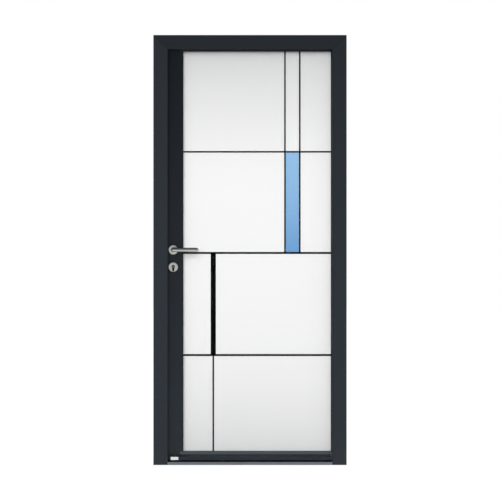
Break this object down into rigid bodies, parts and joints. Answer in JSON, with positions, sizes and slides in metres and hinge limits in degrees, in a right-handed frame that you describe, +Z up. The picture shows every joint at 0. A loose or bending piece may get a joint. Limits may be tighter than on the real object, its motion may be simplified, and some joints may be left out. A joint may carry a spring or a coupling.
{
  "type": "front door",
  "caption": "Glazed aluminium front door in its frame, opening inwards, with a leaded white and blue glass panel, lever handles and a lock with hooks.",
  "frame": {"origin": "floor level under the threshold, at the middle of the frame's width and depth", "axes": "+X towards the hinge side, +Y into the house, +Z up"},
  "size_m": [0.98, 0.176, 2.18],
  "materials": {
    "anthracite_coat": "fine-textured anthracite powder coat",
    "polyamide": "glass-filled polyamide, black",
    "mill_aluminium": "mill finish",
    "threshold_aluminium": "grey anodised",
    "black_rubber": "black gasket rubber",
    "black_plastic": "black moulded plastic",
    "brushed_steel": "brushed stainless steel",
    "satin_steel": "satin stainless steel",
    "zinc_steel": "zinc-plated steel",
    "hinge_coat": "anthracite powder coat",
    "nickel_brass": "nickel-plated brass",
    "clear_glass": "clear float glass",
    "white_satin_glass": "white satin glass",
    "blue_glass": "blue satin glass",
    "black_came": "blackened bar"
  },
  "bodies": {
    "frame": {"lock_jamb_outer": "anthracite_coat", "lock_jamb_inner": "anthracite_coat", "hinge_jamb_outer": "anthracite_coat", "hinge_jamb_inner": "anthracite_coat", "head_outer": "anthracite_coat", "head_inner": "anthracite_coat", "frame_thermal_breaks": "polyamide", "frame_corner_cleats": "mill_aluminium", "threshold_outer": "threshold_aluminium", "threshold_break": "polyamide", "threshold_inner": "threshold_aluminium", "frame_seal": "black_rubber", "main_keep": "brushed_steel", "hook_keeps": "brushed_steel", "hinge_frame_halves": "hinge_coat", "hinge_pins": "brushed_steel"},
    "leaf": {"lock_stile_outer": "anthracite_coat", "lock_stile_inner": "anthracite_coat", "hinge_stile_outer": "anthracite_coat", "hinge_stile_inner": "anthracite_coat", "top_rail_outer": "anthracite_coat", "top_rail_inner": "anthracite_coat", "bottom_rail_outer": "anthracite_coat", "bottom_rail_inner": "anthracite_coat", "glazing_beads": "anthracite_coat", "leaf_thermal_breaks": "polyamide", "leaf_corner_cleats": "mill_aluminium", "glazing_gaskets": "black_rubber", "bottom_seal": "black_rubber", "setting_blocks": "black_rubber", "drip_bar": "anthracite_coat", "drip_bar_caps": "black_plastic", "lock_faceplate": "brushed_steel", "hinge_door_halves": "hinge_coat", "outer_pane": "clear_glass", "inner_pane": "clear_glass", "pane_spacers": "black_plastic", "white_panes": "white_satin_glass", "blue_pane": "blue_glass", "glazing_cames": "black_came", "lock_case": "zinc_steel", "hook_cases": "zinc_steel", "outside_lever_rose": "satin_steel", "inside_lever_rose": "satin_steel", "outside_cylinder_rose": "satin_steel", "inside_cylinder_rose": "satin_steel", "cylinder_body": "nickel_brass"},
    "lever_set": {"outside_lever": "satin_steel", "inside_lever": "satin_steel", "spindle": "zinc_steel", "lock_follower": "zinc_steel"},
    "latch": {"latch_bolt": "brushed_steel"},
    "cylinder_plug": {"outside_plug": "nickel_brass", "inside_plug": "nickel_brass", "cylinder_cam": "zinc_steel"},
    "deadbolt": {"deadbolt": "brushed_steel"},
    "rods": {"drive_rods": "zinc_steel"},
    "hook_low": {"lower_hook": "brushed_steel"},
    "hook_high": {"upper_hook": "brushed_steel"}
  },
  "joints": [
    {"name": "leaf_swing", "type": "hinge", "parent": "frame", "child": "leaf", "pos_m": [0.4575, 0.056, 1.09], "axis": [0, 0, -1], "range_deg": [0, 95]},
    {"name": "lever_turn", "type": "hinge", "parent": "leaf", "child": "lever_set", "pos_m": [-0.39, 0, 1.091], "axis": [0, 1, 0], "range_deg": [0, 40], "stiffness_Nm_per_rad": 1.5, "springref_deg": -34.38},
    {"name": "latch_slide", "type": "slide", "parent": "leaf", "child": "latch", "axis": [1, 0, 0], "range_m": [0, 0.012]},
    {"name": "deadbolt_slide", "type": "slide", "parent": "leaf", "child": "deadbolt", "axis": [-1, 0, 0], "range_m": [0, 0.02]},
    {"name": "key_turn", "type": "hinge", "parent": "leaf", "child": "cylinder_plug", "pos_m": [-0.39, 0, 1.006], "axis": [0, 1, 0], "range_deg": [0, 360]},
    {"name": "rod_slide", "type": "slide", "parent": "leaf", "child": "rods", "axis": [0, 0, 1], "range_m": [0, 0.012]},
    {"name": "low_hook_turn", "type": "hinge", "parent": "leaf", "child": "hook_low", "pos_m": [-0.441, 0.029, 0.4], "axis": [0, -1, 0], "range_deg": [0, 90]},
    {"name": "high_hook_turn", "type": "hinge", "parent": "leaf", "child": "hook_high", "pos_m": [-0.441, 0.029, 1.7], "axis": [0, -1, 0], "range_deg": [0, 90]}
  ],
  "couplings": [
    {"joint": "latch_slide", "follows": "lever_turn", "m_per_rad": 0.0171},
    {"joint": "key_turn", "follows": "deadbolt_slide", "rad_per_m": 314.1},
    {"joint": "rod_slide", "follows": "deadbolt_slide", "ratio": 0.599},
    {"joint": "low_hook_turn", "follows": "deadbolt_slide", "rad_per_m": 78.5},
    {"joint": "high_hook_turn", "follows": "deadbolt_slide", "rad_per_m": 78.5}
  ]
}
